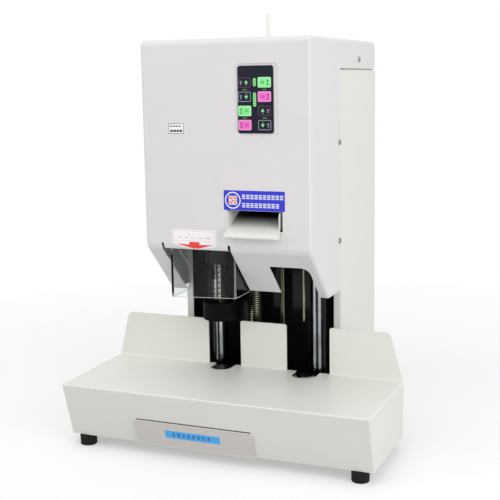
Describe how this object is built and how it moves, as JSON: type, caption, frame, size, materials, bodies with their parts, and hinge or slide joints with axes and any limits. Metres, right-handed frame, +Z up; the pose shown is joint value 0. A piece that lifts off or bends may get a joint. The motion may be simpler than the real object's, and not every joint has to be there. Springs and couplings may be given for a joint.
{
  "type": "rivet tube binding machine",
  "caption": "Electric binding machine that drills a paper stack and rivets it with a nylon tube, with a table and fence, keypad, clear guard and chip drawer.",
  "frame": {"origin": "on the floor plane under the four rubber feet, at the middle of the machine's width and depth", "axes": "+X to the operator's right, +Y to the back of the machine, +Z up; the paper table faces -Y"},
  "size_m": [0.42, 0.3629, 0.5613],
  "materials": {
    "cover_coat": "fine texture, light grey",
    "base_coat": "fine texture, warm off-white",
    "drawer_coat": "satin, warm grey",
    "black_paint": "gloss black",
    "zinc": "zinc plated",
    "machined_steel": "turned and ground",
    "hard_chrome": "polished",
    "bronze": "machined",
    "brass": "machined",
    "motor_casing": "cast",
    "transformer_iron": "varnished laminations",
    "rubber": "matt black",
    "black_plastic": "satin black",
    "white_nylon": "natural nylon",
    "clear_acrylic": "clear, polished edges",
    "keypad_film": "printed film, near black",
    "green_key_film": "printed film, light green",
    "pink_key_film": "printed film, pink",
    "circuit_board": "green solder mask"
  },
  "bodies": {
    "machine": {"base_table": "base_coat", "base_plate": "zinc", "foot_front_left": "rubber", "foot_front_right": "rubber", "foot_rear_left": "rubber", "foot_rear_right": "rubber", "drawer_guide": "zinc", "bed_plate": "machined_steel", "pad_holder": "machined_steel", "drill_pad": "black_plastic", "lower_die_heater": "machined_steel", "lower_die_ring": "hard_chrome", "guide_column_left": "hard_chrome", "guide_column_right": "hard_chrome", "back_frame": "black_paint", "top_plate": "machined_steel", "drill_feed_motor": "motor_casing", "press_feed_motor": "motor_casing", "guard_hinge_bracket": "zinc", "head_cover": "cover_coat", "keypad_panel": "keypad_film", "tube_chute": "base_coat", "tube_guide_bush": "black_plastic", "tube_feed_frame": "machined_steel", "tube_feed_motor": "motor_casing", "cutter_solenoid": "motor_casing", "column_housing": "base_coat", "rear_cover": "base_coat", "power_inlet": "black_plastic", "transformer": "transformer_iron", "control_board": "circuit_board"},
    "chip_drawer": {"chip_drawer": "drawer_coat"},
    "drill_carriage": {"drill_carriage": "black_paint", "drill_nut": "bronze", "drill_motor": "motor_casing", "foot_spring": "brass"},
    "drill_spindle": {"drill_spindle": "machined_steel", "drill_bit": "hard_chrome"},
    "presser_foot": {"presser_foot": "black_plastic"},
    "drill_screw": {"drill_screw": "machined_steel"},
    "press_carriage": {"press_carriage": "black_paint", "press_nut": "bronze", "upper_die": "machined_steel", "rivet_pin": "brass"},
    "press_screw": {"press_screw": "machined_steel"},
    "guard": {"guard": "clear_acrylic"},
    "rivet_tube": {"rivet_tube": "white_nylon"},
    "feed_roller": {"feed_roller": "rubber"},
    "pinch_roller": {"pinch_roller": "rubber"},
    "cutter_blade": {"cutter_blade": "machined_steel"},
    "rocker_switch": {"rocker_switch": "black_plastic"},
    "key_left_1": {"key_left_1": "keypad_film"},
    "key_left_2": {"key_left_2": "keypad_film"},
    "key_left_3": {"key_left_3": "green_key_film"},
    "key_left_4": {"key_left_4": "pink_key_film"},
    "key_right_1": {"key_right_1": "green_key_film"},
    "key_right_2": {"key_right_2": "pink_key_film"},
    "key_right_3": {"key_right_3": "keypad_film"},
    "key_right_4": {"key_right_4": "keypad_film"}
  },
  "joints": [
    {"name": "drawer_slide", "type": "slide", "parent": "machine", "child": "chip_drawer", "axis": [0, -1, 0], "range_m": [0, 0.12]},
    {"name": "drill_feed", "type": "slide", "parent": "machine", "child": "drill_carriage", "axis": [0, 0, -1], "range_m": [0, 0.0685]},
    {"name": "drill_screw_turn", "type": "hinge", "parent": "machine", "child": "drill_screw", "pos_m": [-0.008, 0.0078, 0.25], "axis": [0, 0, 1], "continuous": true},
    {"name": "drill_spin", "type": "hinge", "parent": "drill_carriage", "child": "drill_spindle", "pos_m": [-0.0435, -0.0362, 0.262], "axis": [0, 0, 1], "continuous": true},
    {"name": "foot_slide", "type": "slide", "parent": "drill_carriage", "child": "presser_foot", "axis": [0, 0, 1], "range_m": [0, 0.05], "stiffness_N_per_m": 400, "springref_m": -0.02, "deforming": ["foot_spring"]},
    {"name": "press_feed", "type": "slide", "parent": "machine", "child": "press_carriage", "axis": [0, 0, -1], "range_m": [0, 0.143]},
    {"name": "press_screw_turn", "type": "hinge", "parent": "machine", "child": "press_screw", "pos_m": [0.03, 0.0138, 0.25], "axis": [0, 0, 1], "continuous": true},
    {"name": "guard_swing", "type": "hinge", "parent": "machine", "child": "guard", "pos_m": [-0.04325, -0.0942, 0.281], "axis": [-1, 0, 0], "range_deg": [0, 50]},
    {"name": "tube_feed", "type": "slide", "parent": "machine", "child": "rivet_tube", "axis": [0, 0, -1], "range_m": [0, 0.03]},
    {"name": "feed_roller_turn", "type": "hinge", "parent": "machine", "child": "feed_roller", "pos_m": [0.05485, -0.0612, 0.41], "axis": [0, 1, 0], "continuous": true},
    {"name": "pinch_roller_turn", "type": "hinge", "parent": "machine", "child": "pinch_roller", "pos_m": [0.03115, -0.0612, 0.41], "axis": [0, 1, 0], "continuous": true},
    {"name": "cutter_slide", "type": "slide", "parent": "machine", "child": "cutter_blade", "axis": [-1, 0, 0], "range_m": [0, 0.009], "stiffness_N_per_m": 400, "springref_m": -0.003},
    {"name": "power_rocker", "type": "hinge", "parent": "machine", "child": "rocker_switch", "pos_m": [0.032, 0.1748, 0.038], "axis": [-1, 0, 0], "range_deg": [0, 18]},
    {"name": "key_left_1_press", "type": "slide", "parent": "machine", "child": "key_left_1", "axis": [0, 1, 0], "range_m": [0, 0.0005], "stiffness_N_per_m": 2000, "springref_m": -0.0002},
    {"name": "key_left_2_press", "type": "slide", "parent": "machine", "child": "key_left_2", "axis": [0, 1, 0], "range_m": [0, 0.0005], "stiffness_N_per_m": 2000, "springref_m": -0.0002},
    {"name": "key_left_3_press", "type": "slide", "parent": "machine", "child": "key_left_3", "axis": [0, 1, 0], "range_m": [0, 0.0005], "stiffness_N_per_m": 2000, "springref_m": -0.0002},
    {"name": "key_left_4_press", "type": "slide", "parent": "machine", "child": "key_left_4", "axis": [0, 1, 0], "range_m": [0, 0.0005], "stiffness_N_per_m": 2000, "springref_m": -0.0002},
    {"name": "key_right_1_press", "type": "slide", "parent": "machine", "child": "key_right_1", "axis": [0, 1, 0], "range_m": [0, 0.0005], "stiffness_N_per_m": 2000, "springref_m": -0.0002},
    {"name": "key_right_2_press", "type": "slide", "parent": "machine", "child": "key_right_2", "axis": [0, 1, 0], "range_m": [0, 0.0005], "stiffness_N_per_m": 2000, "springref_m": -0.0002},
    {"name": "key_right_3_press", "type": "slide", "parent": "machine", "child": "key_right_3", "axis": [0, 1, 0], "range_m": [0, 0.0005], "stiffness_N_per_m": 2000, "springref_m": -0.0002},
    {"name": "key_right_4_press", "type": "slide", "parent": "machine", "child": "key_right_4", "axis": [0, 1, 0], "range_m": [0, 0.0005], "stiffness_N_per_m": 2000, "springref_m": -0.0002}
  ],
  "couplings": [
    {"joint": "drill_screw_turn", "follows": "drill_feed", "rad_per_m": 523.6},
    {"joint": "press_screw_turn", "follows": "press_feed", "rad_per_m": 523.6},
    {"joint": "feed_roller_turn", "follows": "tube_feed", "rad_per_m": -111.11},
    {"joint": "pinch_roller_turn", "follows": "tube_feed", "rad_per_m": 111.11}
  ]
}
